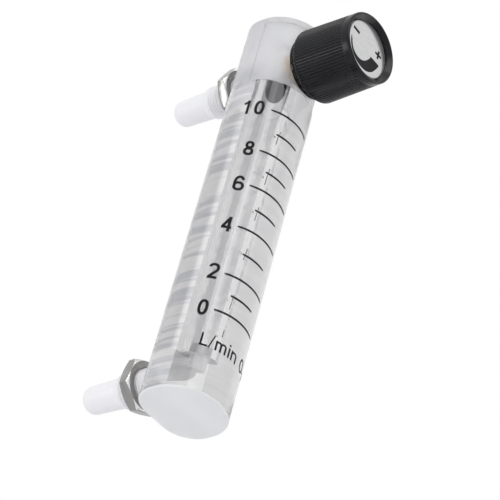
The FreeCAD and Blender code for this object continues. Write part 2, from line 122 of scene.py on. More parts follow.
# Hose fittings
SHANK_Y = 7.35
STUD_END_Y = 24.5
THREAD_START_Y = 7.5
THREAD_END_Y = 24.1
NOZZLE_Y = 26.0
NOZZLE_R = 4.35
NOZZLE_DRAFT = 0.35
NOZZLE_ROUND = 3.0
NOZZLE_BASE_ROUND = 0.8
SEAL_Y = 5.45
SEAL_R = 2.95

# Hex nuts: sizes, the zone round their chamfers that is painted bright as a highlight, where each one starts
# and how far it is turned
NUT_FLATS = 14.5
NUT_THICKNESS = 3.3
NUT_CHAMFER = 0.55
NUT_BORE_CHAMFER = 0.35
NUT_EDGE = 0.2
NUT_EDGE_ANGLE = 22
NUT_MARGIN = 0.05
HIGHLIGHT_INSIDE = 0.3
HIGHLIGHT_REACH = 1.3
INLET_NUT_Y = 17.0
INLET_NUT_TURN = 22.6
OUTLET_NUT_Y = 14.0
OUTLET_NUT_TURN = 5.8

# Knob: a tapered cap with a smooth band, a recessed disc in front and a hub inside
KNOB_LENGTH = 21.0
KNOB_REAR_Y = KNOB_FRONT_Y + KNOB_LENGTH
KNOB_REAR_R = 11.25
KNOB_FRONT_R = 10.85
KNOB_BAND = 2.4
RIM_ROUND = 0.6
RIM_LAND = 1.25
RIM_BEVEL_DEPTH = 0.95
RIM_BEVEL_ROUND = 0.15
RECESS_ROUND = 0.1
BAND_STEPS = (-0.5, 0.0, 0.15, 0.45)
REAR_LAND = 1.6
REAR_CURVE = ((0.1, 1.05), (0.45, 0.682), (0.85, 0.264), (1.1, 0.06), (1.4, 0.0))
FLANK_END = 1.35
FLANK_STEPS = 7
CAVITY_R = 8.13
CAVITY_DRAFT = 0.3
CAVITY_FLOOR_Y = -30.2
CAVITY_FILLET = 0.6
HUB_ROOT_R = 5.5
HUB_END_R = 5.25
HUB_END_Y = -18.9
HUB_RELIEF = 0.5
HUB_LIP_R = 3.9
HUB_BORE_R = 3.91
HUB_BORE_END_Y = -30.9
DISC_R = 8.85
DISC_FIT = 0.05
DISC_DEPTH = 1.6
DISC_THICKNESS = 0.6
DISC_ROUND = 0.15
DISC_Y = KNOB_FRONT_Y + DISC_DEPTH
DISC_BACK_Y = DISC_Y + DISC_THICKNESS

# Knob ribs: outside a radius, over the flank, each with a flat crest and sloping sides
RIB_COUNT = 75
RIB_SEGMENTS = 12
RIB_HEIGHT = 0.32
RIB_INSIDE_R = 9.9
RIB_FLANK = 5.2
RIB_GROOVE = 0.55
RIB_FADE = 0.8

# Float: a round nose, a groove at three distances below the rim, and the rim
FLOAT_TOP_Z = 115.3
FLOAT_LENGTH = 5.8
FLOAT_RIM_Z = 114.1
FLOAT_R = 3.0
FLOAT_GROOVE_R = 2.65
FLOAT_NOSE_R = 1.85
FLOAT_NOSE_LENGTH = 1.7
FLOAT_NOSE_ROUND = 1.4
FLOAT_SHOULDER_ROUND = 1.5
FLOAT_GROOVE = (1.6, 1.2, 0.4)

# Scale marks: height, and the number beside a long mark
MARKS = (
    (26.33, 0), (32.52, None), (38.73, 2), (47.00, None), (55.29, 4), (62.70, None),
    (70.11, 6), (76.60, None), (83.12, 8), (90.81, None), (98.51, 10),
)

# Angles in degrees round the front, from its middle: the ends of the marks and the figures' places
LONG_MARK = (-40.3, 31.0)
SHORT_MARK = (-24.8, 13.5)
FIGURE_ANGLE = -54.5
TEN_ANGLES = (-72.0, -56.2)

# Print sizes; the stroke and the half figure are shares of the letters' height
INK = 0.03
MARK_WIDTH = 0.65
MARK_TAPER = 1.2
MARK_TIP = 0.8
FIGURE_HEIGHT = 5.2
HALF_FIGURE = 0.3
STROKE = 0.162
SLASH_WEIGHT = 0.65
OVAL_POWER = 0.87
BEND_STEP = 0.35

# The unit below the scale: text, angle, lower edge, width, height and weight of the stroke
UNIT_TEXTS = (
    ("L/min", -47.0, 14.1, 4.45, 4.2, 0.85),
    ("O", 19.5, 14.1, 4.2, 4.2, 0.85),
    ("2", 35.2, 13.5, 2.5, 2.4, 1.0),
)

# Fine grey lines beside the scale: lower end, upper end and angle
HAIRLINES = (
    (87.3, 90.4, -21.6), (91.2, 92.3, -20.2), (72.3, 76.2, -21.5), (77.0, 78.3, -20.8),
    (59.3, 62.3, -21.5), (63.1, 64.3, -20.8), (45.3, 46.7, -21.6), (47.4, 49.3, -20.8),
    (31.0, 32.2, -21.5), (32.9, 33.3, -20.8), (28.3, 30.6, -21.6), (18.9, 21.3, -21.0),
)
HAIRLINE_HALF = 0.14
HAIRLINE_LEAN = 0.06
HAIRLINE_INK = 0.7

# Print on the knob's disc, from its centre: corners of the minus, the plus, and a wedge between two
# smooth edges through points of (angle in degrees, radius)
MINUS = ((-7.39, 2.32), (-4.45, 2.0), (-4.41, 2.88), (-7.35, 3.2))
PLUS_CENTRE = (5.05, 1.9)
PLUS_ARM = 1.42
PLUS_HALF = 0.38
WEDGE_OUTSIDE = (
    (-176, 7.42), (-160, 7.48), (-140, 7.5), (-118, 7.5), (-98, 7.42), (-74, 7.3), (-51, 6.85),
    (-34, 6.46), (-11, 6.45),
)
WEDGE_INSIDE = (
    (-176, 7.3), (-166, 6.88), (-155, 6.82), (-143, 6.72), (-131, 6.45), (-120, 6.05), (-108, 5.55),
    (-97, 4.95), (-85, 4.25), (-63, 3.2), (-25, 2.5),
)

# Finishes of the body's faces, in the order of its materials, and where they end
BODY_FINISHES = (
    "clear_acrylic", "milled_acrylic", "drawn_back", "sawn_end", "drawn_side_painted_light", "drilled_port_and_ledge_highlight",
)
SAWN_TOP_Z = 0.2
# Faces on the ledge under the head get the whitest finish, which paints a highlight line
LEDGE_HIGHLIGHT_BAND = 0.02
BORE_ZONE_R = 4.3
DRILLED_TOP_Z = 15.5
PORT_ZONE_R = PORT_R + 0.2
POLISH_END = 73.5
SIDE_X = 9.6

# Acrylic: how much of the light goes through each finish, and how strongly it is bent
CLARITY = 0.995
DRAWN_CLARITY = 0.65
MILLED_CLARITY = 0.7
CLOUDY_CLARITY = 0.2
ACRYLIC_IOR = 1.49

# Points closer than this are one point: in metres for pieces and for prints, in millimetres for outlines
SAME_POINT = 1e-7
SAME_PRINT_POINT = 1e-8
SAME_PLACE = 1e-6

# Closer than this, in millimetres, counts as on the same surface
NEAR = 0.01

# Faces round each turned form
FACING_FACES = 200
BORE_FACES = 128
PORT_FACES = 112
FITTING_FACES = 144
NUT_FACES = 120
DISC_FACES = 160
FLOAT_FACES = 96

# Lamps: name, place in metres, side of the square and power in watts
LAMPS = (
    ("key", (-0.35, -0.55, 0.55), 0.5, 1.9),
    ("fill", (0.6, -0.4, 0.1), 0.5, 0.9),
    ("low", (-0.5, -0.1, -0.35), 0.4, 0.5),
    ("side", (-0.6, 0.43, -0.13), 0.26, 0.85),
)
LAMP_TARGET = (0, 0.01, 0.07)
AMBIENT_COLOUR = (0.96, 0.97, 1.0)
AMBIENT_STRENGTH = 0.87
FLOOR_Z = -0.5
FLOOR_SIZE = 6
FLOOR_GREY = (0.9, 0.9, 0.9)

# Camera: place in metres, the directions to the right and ahead, and a focal length in picture widths
CAMERA_PLACE = (-0.3555, -0.3952, -0.3296)
CAMERA_RIGHT = (0.6018, -0.7683, 0.2181)
CAMERA_AHEAD = (0.5467, 0.5953, 0.5889)
FOCAL_WIDTHS = 4.678
SENSOR_WIDTH = 36.0


def placed(name, data):
    obj = bpy.data.objects.new(name, data)
    bpy.context.scene.collection.objects.link(obj)
    return obj


def clean(mesh_data):
    bm = bmesh.new()
    bm.from_mesh(mesh_data)
    bmesh.ops.remove_doubles(bm, verts=bm.verts, dist=SAME_POINT)
    bmesh.ops.dissolve_degenerate(bm, edges=bm.edges, dist=SAME_POINT)
    bmesh.ops.recalc_face_normals(bm, faces=bm.faces)
    bm.to_mesh(mesh_data)
    bm.free()


def shade(mesh_data, sharp_angle):
    for polygon in mesh_data.polygons:
        polygon.use_smooth = True
    mesh_data.set_sharp_from_angle(angle=math.radians(sharp_angle))


def piece(name, points, faces, sharp_angle=35.0):
    """A mesh object from points in millimetres."""
    mesh_data = bpy.data.meshes.new(name)
    mesh_data.from_pydata([(x * MM, y * MM, z * MM) for x, y, z in points], [], faces)
    clean(mesh_data)
    shade(mesh_data, sharp_angle)
    return placed(name, mesh_data)


def with_steps_done(obj):
    """A new mesh: what the object's modifiers make of it."""
    graph = bpy.context.evaluated_depsgraph_get()
    return bpy.data.meshes.new_from_object(obj.evaluated_get(graph))


def finish_steps(obj, sharp_angle):
    """Replaces the object's mesh by what its modifiers make of it."""
    made = with_steps_done(obj)
    obj.modifiers.clear()
    obj.data = made
    clean(made)
    shade(made, sharp_angle)


def add_booleans(obj, tools, operation):
    for tool in tools:
        step = obj.modifiers.new("step", "BOOLEAN")
        step.operation = operation
        step.solver = "EXACT"
        step.object = tool
    bpy.context.view_layer.update()


def boolean(obj, tools, operation, sharp_angle):
    add_booleans(obj, tools, operation)
    finish_steps(obj, sharp_angle)
    for tool in tools:
        bpy.data.objects.remove(tool)


def clamped(value):
    return min(1.0, max(0.0, value))


def rounded(corners, steps):
    """A line through corners of (a, b, rounding) in a plane, with each rounding as a short arc of points."""
    out = []
    last = len(corners) - 1
    for i, (a, b, r) in enumerate(corners):
        if r <= 0 or i in (0, last):
            out.append((a, b))
            continue
        here = Vector((a, b))
        before = (Vector(corners[i - 1][:2]) - here).normalized()
        after = (Vector(corners[i + 1][:2]) - here).normalized()
        half = before.angle(after) / 2
        centre = here + (before + after).normalized() * (r / math.sin(half))
        start = here + before * (r / math.tan(half)) - centre
        end = here + after * (r / math.tan(half)) - centre
        turn = math.atan2(start.x * end.y - start.y * end.x, start.dot(end))
        for k in range(steps + 1):
            t = turn * k / steps
            x = start.x * math.cos(t) - start.y * math.sin(t)
            y = start.x * math.sin(t) + start.y * math.cos(t)
            out.append((centre.x + x, centre.y + y))
    return out


def turned(name, profile, segments, place, closed=False, shape=None, sharp_angle=35.0):
    """A turned piece from a profile of (radius, height).

    place maps (x, y, height) to the part's axes, and shape may change the radius at (radius, height, angle).
    """
    points = []
    rings = []
    for r, h in profile:
        if r < SAME_PLACE:
            rings.append([len(points)])
            points.append(place(0.0, 0.0, h))
            continue
        ring = []
        for k in range(segments):
            a = 2 * math.pi * k / segments
            rr = shape(r, h, a) if shape else r
            ring.append(len(points))
            points.append(place(rr * math.cos(a), rr * math.sin(a), h))
        rings.append(ring)
    faces = []
    pairs = list(zip(rings, rings[1:]))
    if closed:
        pairs.append((rings[-1], rings[0]))
    for low, high in pairs:
        for k in range(segments):
            n = (k + 1) % segments
            if len(low) == 1 and len(high) == 1:
                continue
            if len(low) == 1:
                faces.append((low[0], high[k], high[n]))
            elif len(high) == 1:
                faces.append((low[k], high[0], low[n]))
            else:
                faces.append((low[k], high[k], high[n], low[n]))
    return piece(name, points, faces, sharp_angle)


def on_z(x, y, h):
    return (x, y, h)


def on_y(z):
    return lambda a, b, h: (a, h, z + b)


def spaced(start, end, step):
    """Profile points between two (radius, height) points, closely spaced for a thread."""
    count = max(2, int(abs(end[1] - start[1]) / step))
    return [(start[0] + (end[0] - start[0]) * k / count, start[1] + (end[1] - start[1]) * k / count)
            for k in range(count + 1)]


def thread(low, high, base_r, depth):
    """Shape for turned(): a helical thread cut into radius base_r between two heights."""
    def shape(r, h, a):
        if abs(r - base_r) > NEAR or h < low or h > high:
            return r
        share = (h / THREAD_PITCH - a / (2 * math.pi)) % 1.0
        wave = clamped(THREAD_FLOOR - abs(share - 0.5) * THREAD_FLANK)
        runout = clamped(min(h - low, high - h) / THREAD_RUNOUT)
        return r - depth * wave * runout
    return shape


class Finish:
    """A material whose colour, roughness and relief vary over the surface."""

    def __init__(self, name, colour, roughness, metallic=0.0):
        self.material = bpy.data.materials.new(name)
        self.material.use_nodes = True
        self.tree = self.material.node_tree
        self.shader = self.tree.nodes["Principled BSDF"]
        self.set("Base Color", (*colour, 1))
        self.set("Metallic", metallic)
        self.set("Roughness", roughness)
        self.coords = self.tree.nodes.new("ShaderNodeTexCoord").outputs["Object"]

    def set(self, socket, value):
        self.shader.inputs[socket].default_value = value

    def link(self, source, target):
        self.tree.links.new(source, target)

    def stretched(self, scale):
        mapping = self.tree.nodes.new("ShaderNodeMapping")
        mapping.inputs["Scale"].default_value = scale
        self.link(self.coords, mapping.inputs["Vector"])
        return mapping.outputs["Vector"]

    def noise(self, scale, detail=3.0, stretch=None):
        made = self.tree.nodes.new("ShaderNodeTexNoise")
        made.inputs["Scale"].default_value = scale
        made.inputs["Detail"].default_value = detail
        self.link(self.stretched(stretch) if stretch else self.coords, made.inputs["Vector"])
        return made.outputs["Fac"]

    def ramp(self, value, low, high, low_at=0.3, high_at=0.7):
        made = self.tree.nodes.new("ShaderNodeMapRange")
        made.inputs["From Min"].default_value = low_at
        made.inputs["From Max"].default_value = high_at
        made.inputs["To Min"].default_value = low
        made.inputs["To Max"].default_value = high
        self.link(value, made.inputs["Value"])
        return made.outputs["Result"]

    def vary_roughness(self, value, low, high):
        self.link(self.ramp(value, low, high), self.shader.inputs["Roughness"])

    def vary_colour(self, value, first, second):
        made = self.tree.nodes.new("ShaderNodeMix")
        made.data_type = "RGBA"
        self.link(self.ramp(value, 0.0, 1.0), made.inputs["Factor"])
        made.inputs[6].default_value = (*first, 1)
        made.inputs[7].default_value = (*second, 1)
        self.link(made.outputs[2], self.shader.inputs["Base Color"])

    def bump(self, value, distance, strength):
        made = self.tree.nodes.new("ShaderNodeBump")
        made.inputs["Distance"].default_value = distance
        made.inputs["Strength"].default_value = strength
        self.link(value, made.inputs["Height"])
        self.link(made.outputs["Normal"], self.shader.inputs["Normal"])


def acrylic(name, colour, roughness, clarity):
    made = Finish(name, colour, roughness)
    made.set("Transmission Weight", clarity)
    made.set("IOR", ACRYLIC_IOR)
    return made


def clear_acrylic():
    """Polished faces: clear, with the faint streaks of drawn and buffed acrylic."""
    made = acrylic("clear_acrylic", (0.72, 0.72, 0.73), 0.02, CLARITY)
    made.vary_roughness(made.noise(90, 3.0, (1, 1, 0.15)), 0.01, 0.06)
    made.vary_colour(made.noise(420, 3.0, (1, 1, 0.03)), (0.67, 0.67, 0.675), (0.78, 0.775, 0.785))
    made.bump(made.noise(120, 2.0, (1, 1, 0.06)), 0.00002, 0.3)
    return made.material


def drawn_acrylic(name, low, high):
    """The flat sides and back: clear but a little hazy, with bands across between two colours; on the sides
    the bands, dark blue-grey and light yellowish, are painted light and shade.
    """
    made = acrylic(name, low, 0.08, DRAWN_CLARITY)
    made.vary_roughness(made.noise(300, 3.0, (1, 1, 0.2)), 0.04, 0.14)
    bands = made.ramp(made.noise(320, 2.0, (0.05, 0.05, 1)), 0.0, 1.0, 0.4, 0.6)
    made.vary_colour(bands, low, high)
    made.bump(made.noise(120, 2.0, (1, 1, 0.06)), 0.00002, 0.3)
    return made.material


def milled_acrylic():
    """Turned and milled faces of the head: foggy, with fine tool marks."""
    made = acrylic("milled_acrylic", (0.93, 0.93, 0.955), 0.45, MILLED_CLARITY)
    made.vary_roughness(made.noise(700, 4.0, (0.3, 1, 1)), 0.38, 0.6)
    made.vary_colour(made.noise(75, 4.0, (1, 1, 0.6)), (0.85, 0.845, 0.87), (0.97, 0.97, 0.98))
    made.bump(made.noise(1600, 3.0, (0.2, 1, 1)), 0.00002, 0.4)
    return made.material


def cloudy_acrylic(name, low, high):
    """Sawn and drilled faces that look white: cloudy, in patches between two colours."""
    made = acrylic(name, low, 0.5, CLOUDY_CLARITY)
    made.vary_roughness(made.noise(700, 4.0, (0.3, 1, 1)), 0.4, 0.6)
    made.vary_colour(made.noise(90, 3.0, (0.3, 1, 1)), low, high)
    made.bump(made.noise(1600, 3.0, (0.2, 1, 1)), 0.00002, 0.4)
    return made.material


def plug_acrylic():
    made = acrylic("plug_acrylic", (0.95, 0.955, 0.965), 0.12, 1.0)
    made.vary_roughness(made.noise(800), 0.08, 0.2)
    return made.material


def white_nylon():
    made = Finish("white_nylon", (0.77, 0.765, 0.775), 0.42)
    made.vary_roughness(made.noise(700), 0.36, 0.48)
    made.vary_colour(made.noise(90), (0.75, 0.745, 0.755), (0.79, 0.785, 0.795))
    made.bump(made.noise(3500, 2.0), 0.00001, 0.25)
    return made.material


def black_rubber():
    made = Finish("black_rubber", (0.025, 0.025, 0.027), 0.6)
    made.vary_roughness(made.noise(900), 0.5, 0.7)
    made.bump(made.noise(2500), 0.00003, 0.3)
    return made.material


def nickel_plate():
    made = Finish("nickel_plate", (0.33, 0.32, 0.31), 0.2, metallic=1.0)
    made.vary_roughness(made.noise(260, 5.0, (1, 6, 1)), 0.14, 0.3)
    made.vary_colour(made.noise(180), (0.29, 0.285, 0.275), (0.36, 0.35, 0.34))
    made.bump(made.noise(900, 3.0, (1, 8, 1)), 0.00001, 0.2)
    return made.material


def nickel_edge():
    """Chamfers of the nuts: the same plate, painted brighter as a highlight on the edges."""
    made = Finish("nickel_edge", (0.92, 0.92, 0.92), 0.2, metallic=1.0)
    made.vary_roughness(made.noise(400, 4.0), 0.12, 0.3)
    return made.material


def brass():
    made = Finish("brass", (0.72, 0.55, 0.28), 0.25, metallic=1.0)
    made.vary_roughness(made.noise(600, 3.0, (1, 9, 1)), 0.2, 0.36)
    made.bump(made.noise(1500, 2.0, (1, 12, 1)), 0.00001, 0.2)
    return made.material


def stainless():
    made = Finish("stainless", (0.60, 0.60, 0.61), 0.22, metallic=1.0)
    made.vary_roughness(made.noise(800, 3.0, (1, 10, 1)), 0.16, 0.3)
    made.bump(made.noise(1500, 2.0, (1, 12, 1)), 0.00001, 0.2)
    return made.material


def float_steel():
    made = Finish("float_steel", (0.010, 0.010, 0.017), 0.2, metallic=1.0)
    made.vary_roughness(made.noise(900, 3.0, (1, 1, 10)), 0.14, 0.26)
    made.bump(made.noise(1800, 2.0, (1, 1, 12)), 0.00001, 0.2)
    return made.material


def black_plastic():
    made = Finish("black_plastic", (0.006, 0.006, 0.007), 0.24)
    made.set("Specular IOR Level", 0.24)
    made.vary_roughness(made.noise(500), 0.18, 0.27)
    made.vary_colour(made.noise(120), (0.004, 0.004, 0.005), (0.007, 0.007, 0.009))
    made.bump(made.noise(4000, 2.0), 0.00001, 0.2)
    return made.material


def silver_disc():
    made = Finish("silver_disc", (0.6, 0.6, 0.61), 0.2, metallic=0.85)
    made.vary_roughness(made.noise(900, 4.0, (1, 1, 8)), 0.13, 0.22)
    made.vary_colour(made.noise(500, 4.0, (1, 1, 8)), (0.56, 0.56, 0.565), (0.62, 0.62, 0.625))
    return made.material


def black_ink():
    made = Finish("black_ink", (0.004, 0.004, 0.005), 0.45)
    made.set("Specular IOR Level", 0.15)
    made.vary_roughness(made.noise(1500), 0.38, 0.55)
    made.bump(made.noise(6000, 2.0), 0.00001, 0.2)
    return made.material


def grey_ink():
    made = Finish("grey_ink", (0.12, 0.12, 0.12), 0.5)
    made.vary_colour(made.noise(2500), (0.06, 0.06, 0.06), (0.22, 0.22, 0.22))
    return made.material


def make_finishes():
    """The finishes by material slot, and those of the inks, the painted highlight of the nuts' chamfers and
    the body's faces.
    """
    return {
        "clear_acrylic": clear_acrylic(),
        "milled_acrylic": milled_acrylic(),
        "drawn_back": drawn_acrylic("drawn_back", (0.80, 0.80, 0.81), (0.86, 0.86, 0.86)),
        # the sides: bands of dark blue-grey and light yellowish, painted light and shade
        "drawn_side_painted_light": drawn_acrylic("drawn_side_painted_light", (0.66, 0.66, 0.69), (0.91, 0.895, 0.885)),
        "sawn_end": cloudy_acrylic("sawn_end", (0.77, 0.77, 0.775), (0.83, 0.83, 0.835)),
        # also on the ledge under the head, where it paints a highlight line
        "drilled_port_and_ledge_highlight": cloudy_acrylic("drilled_port_and_ledge_highlight", (0.95, 0.95, 0.95), (0.99, 0.99, 0.99)),
        "plug_acrylic": plug_acrylic(),
        "white_plastic": white_nylon(),
        "black_rubber": black_rubber(),
        "nickel_plate": nickel_plate(),
        # a brighter plate that paints a highlight on the nuts' chamfers
        "nickel_edge": nickel_edge(),
        "brass": brass(),
        "stainless": stainless(),
        "float_steel": float_steel(),
        "black_plastic": black_plastic(),
        "silver_disc": silver_disc(),
        "black_ink": black_ink(),
        "grey_ink": grey_ink(),
    }


def finish_piece(obj, body, slot, *nodes, finish=None):
    """Gives a piece its finish, that of its slot unless another is named, the body it rides, and hides the
    nodes it stands for.
    """
    obj.data.materials.clear()
    obj.data.materials.append(finishes[finish or slot])
    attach(obj, body)
    if nodes:
        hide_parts(*nodes)


def carry_over():
    """Gives each solid the finish of its slot."""
    slots = {row["node"]: row["material_slot"] for row in frame["record"]["subparts"]}
    for name, obj in frame["nodes"].items():
        material = finishes[slots[name]]
        if not obj.data.materials:
            obj.data.materials.append(material)
        for index in range(len(obj.data.materials)):
            obj.data.materials[index] = material


def body_outline(inset):
    """The body's section, counter-clockwise from the left end of the round front."""
    front = FRONT_R - inset
    back = BACK_Y - inset
    corner = BACK_CORNER_R - inset
    points = []
    for k in range(FRONT_STEPS + 1):
        a = math.pi * (k / FRONT_STEPS - 0.5)
        points.append((front * math.sin(a), -front * math.cos(a)))
    half = [(front, FLAT_START), (front, back - corner - FLAT_START)]
    for k in range(CORNER_STEPS + 1):
        a = math.pi / 2 * k / CORNER_STEPS
        half.append((front - corner + corner * math.cos(a), back - corner + corner * math.sin(a)))
    half.append((front - corner - FLAT_START, back))
    return points + half + [(-x, y) for x, y in half[::-1]]


def bare_block():
    """The body before it is bored: its section stacked up, with a chamfer at both ends."""
    levels = (
        (0.0, CHAMFER), (CHAMFER, 0.0), (HEAD_LOW_Z, 0.0), (TOP_Z - CHAMFER, 0.0), (TOP_Z, CHAMFER),
    )
    count = len(body_outline(0))
    points = [(x, y, z) for z, inset in levels for x, y in body_outline(inset)]
    faces = []
    for low in range(0, (len(levels) - 1) * count, count):
        high = low + count
        for k in range(count):
            n = (k + 1) % count
            faces.append((low + k, low + n, high + n, high + k))
    faces.append(tuple(range(count))[::-1])
    faces.append(tuple(range(len(points) - count, len(points))))
    return piece("body_block", points, faces, 10)


def head_ring():
    """What is turned off the round front beside the valve: a ring sector between two heights."""
    inner = FRONT_R - HEAD_STEP
    outer = FRONT_R + CUT_OVERRUN
    reach = math.acos(HEAD_SIDE / FRONT_R)
    angles = [-reach + 2 * reach * k / HEAD_STEPS for k in range(HEAD_STEPS + 1)]
    outline = [(outer * math.sin(a), -outer * math.cos(a)) for a in angles]
    outline += [(inner * math.sin(a), -inner * math.cos(a)) for a in angles[::-1]]
    count = len(outline)
    points = [(x, y, z) for z in (HEAD_LOW_Z, HEAD_HIGH_Z) for x, y in outline]
    faces = [(k, (k + 1) % count, count + (k + 1) % count, count + k) for k in range(count)]
    for k in range(HEAD_STEPS):
        low = (k, k + 1, count - 2 - k, count - 1 - k)
        faces.append(low[::-1])
        faces.append(tuple(count + i for i in low))
    return piece("head_ring", points, faces)


def facing():
    return turned("facing", [
        (0, FACING_START_Y), (FACING_R, FACING_START_Y), (FACING_R, FACING_Y), (0, FACING_Y),
    ], FACING_FACES, on_y(OUTLET_Z))


def vertical_bore():
    cross_hole_z = INLET_Z - PASSAGE_R
    end_z = TOP_Z + CUT_OVERRUN
    return turned("bore", [
        (0, cross_hole_z), (CROSS_HOLE_R, cross_hole_z), (CROSS_HOLE_R, BORE_FLOOR_Z),
        (BORE_LOW_R, BORE_FLOOR_Z), (BORE_HIGH_R, BORE_TOP_Z),
        (STOP_SEAT_R, BORE_TOP_Z), (STOP_SEAT_R, PLUG_LEDGE_Z),
        (PLUG_SEAT_R, PLUG_LEDGE_Z), (PLUG_SEAT_R, end_z), (0, end_z),
    ], BORE_FACES, on_z)


def port_hole():
    """Profile of a fitting's hole, from its floor outwards."""
    end_y = BACK_Y + CUT_OVERRUN
    return [*spaced((PORT_R, PORT_FLOOR_Y), (PORT_R, end_y), PORT_THREAD_STEP), (0, end_y)]


def inlet_port():
    profile = [(0, 0.0), (PASSAGE_R, 0.0), (PASSAGE_R, PORT_FLOOR_Y), *port_hole()]
    return turned("inlet_port", profile, PORT_FACES, on_y(INLET_Z),
                  shape=thread(*PORT_THREAD, PORT_R, PORT_THREAD_DEPTH))


def valve_hole():
    start_y = FACING_Y - CUT_OVERRUN
    bushing_hole = spaced((PORT_R, start_y), (PORT_R, VALVE_BORE_Y), PORT_THREAD_STEP)
    profile = [
        (0, start_y), *bushing_hole, (VALVE_BORE_R, VALVE_BORE_Y), (VALVE_BORE_R, PORT_FLOOR_Y), *port_hole(),
    ]
    return turned("valve_hole", profile, PORT_FACES, on_y(OUTLET_Z),
                  shape=thread(*VALVE_THREAD, PORT_R, PORT_THREAD_DEPTH))


def face_finish(x, y, z):
    """The finish that the body has at a point of its surface."""
    if z < SAWN_TOP_Z:
        return "sawn_end"
    # The ledge under the head: the whitest finish, a painted highlight line
    if abs(z - HEAD_LOW_Z) < LEDGE_HIGHLIGHT_BAND:
        return "drilled_port_and_ledge_highlight"
    if z > HEAD_LOW_Z:
        return "milled_acrylic"
    if math.hypot(x, y) < BORE_ZONE_R:
        return "drilled_port_and_ledge_highlight" if z < DRILLED_TOP_Z else "clear_acrylic"
    if math.hypot(x, z - INLET_Z) < PORT_ZONE_R:
        return "drilled_port_and_ledge_highlight"
    if math.degrees(math.atan2(abs(x), -y)) < POLISH_END:
        return "clear_acrylic"
    # The flat sides get bands of painted light and shade
    return "drawn_side_painted_light" if abs(x) > SIDE_X else "drawn_back"


def make_body():
    body = bare_block()
    boolean(body, [head_ring(), facing(), vertical_bore(), inlet_port(), valve_hole()], "DIFFERENCE", 12)
    finish_piece(body, "meter", "clear_acrylic", "body")
    for name in BODY_FINISHES[1:]:
        body.data.materials.append(finishes[name])
    for polygon in body.data.polygons:
        polygon.material_index = BODY_FINISHES.index(face_finish(*(c / MM for c in polygon.center)))


def oval(x, y, rx, ry, start=0.0, end=360.0, steps=40):
    """Points of a slightly squared oval between two angles in degrees."""
    out = []
    for k in range(steps + 1):
        a = math.radians(start + (end - start) * k / steps)
        c, s = math.cos(a), math.sin(a)
        across = rx * math.copysign(abs(c) ** OVAL_POWER, c)
        along = ry * math.copysign(abs(s) ** OVAL_POWER, s)
        out.append((x + across, y + along))
    return out


def letter(char):
    """A letter's strokes, and its width, as shares of the capital height.

    Closed strokes end where they start.
    """
    w = STROKE / 2
    top = 0.74
    arch_y = top - w
    strokes = {
        "0": ([oval(0.3, 0.5, 0.195, 0.42)], 0.6),
        "1": ([[(0.3, 0), (0.3, 1)], [(0.3, 0.93), (0.17, 0.82), (0.03, 0.75)]], 0.4),
        "2": ([oval(0.3, 0.7, 0.225, 0.24, 168, -38, 24) + [(0.1, w)], [(0.04, w), (0.55, w)]], 0.6),
        "4": ([[(0.42, 0), (0.42, 1)], [(0.42, 0.94), (0.07, 0.29)], [(0.02, 0.29), (0.58, 0.29)]], 0.6),
        "6": ([oval(0.3, 0.3, 0.235, 0.237),
               oval(0.3, 0.5, 0.235, 0.437, 32, 183, 24) + [(0.067, 0.3)]], 0.6),
        "8": ([oval(0.3, 0.735, 0.165, 0.187), oval(0.3, 0.275, 0.205, 0.2)], 0.6),
        "L": ([[(w, 1), (w, 0)], [(0, w), (0.52, w)]], 0.58),
        "/": ([[(0.02, -0.02), (0.27, 1.02)]], 0.4),
        "m": ([[(w, 0), (w, top)],
               oval(0.235, arch_y - 0.17, 0.17, 0.17, 180, 0, 16) + [(0.405, 0)],
               oval(0.575, arch_y - 0.17, 0.17, 0.17, 180, 0, 16) + [(0.745, 0)]], 0.95),
        "i": ([[(w, 0), (w, top)], [(w, 0.87), (w, 1.0)]], 0.26),
        "n": ([[(w, 0), (w, top)],
               oval(0.275, arch_y - 0.2, 0.21, 0.2, 180, 0, 16) + [(0.485, 0)]], 0.55),
        "O": ([oval(0.33, 0.5, 0.265, 0.437)], 0.66),
    }
    return strokes[char]


def stroke_mesh(points, width):
    """A stroke of even width along the points, as a thin plate."""
    closed = math.dist(points[0], points[-1]) < SAME_PLACE
    path = points[:-1] if closed else points
    count = len(path)
    sides = []
    for i, (x, y) in enumerate(path):
        before = path[i - 1] if closed or i > 0 else None
        after = path[(i + 1) % count] if closed or i < count - 1 else None
        into = Vector((x - before[0], y - before[1])).normalized() if before else None
        away = Vector((after[0] - x, after[1] - y)).normalized() if after else into
        into = into or away
        along = (into + away).normalized()
        reach = width / 2 / max(0.5, along.dot(into))
        side_x = along.y * reach
        side_y = along.x * reach
        sides.append(((x - side_x, y + side_y), (x + side_x, y - side_y)))
    verts = [(x, y, z) for z in (-INK, INK) for pair in sides for x, y in pair]
    high = 2 * count
    faces = []
    for i in range(count if closed else count - 1):
        a = 2 * i
        b = 2 * ((i + 1) % count)
        faces += [(a, a + 1, b + 1, b), (high + a, high + b, high + b + 1, high + a + 1),
                  (a, b, high + b, high + a), (a + 1, high + a + 1, high + b + 1, b + 1)]
    if not closed:
        last = high - 2
        faces += [(0, high, high + 1, 1), (last, last + 1, high + last + 1, high + last)]
    made = bpy.data.meshes.new("stroke")
    made.from_pydata(verts, [], faces)
    return made


def bar_mesh(corners, depth=INK):
    """A flat closed outline as a thin plate."""
    count = len(corners)
    points = [(x, y, z) for z in (-depth, depth) for x, y in corners]
    faces = [tuple(range(count))[::-1], tuple(range(count, 2 * count))]
    faces += [(k, (k + 1) % count, count + (k + 1) % count, count + k) for k in range(count)]
    made = bpy.data.meshes.new("bar")
    made.from_pydata(points, [], faces)
    return made


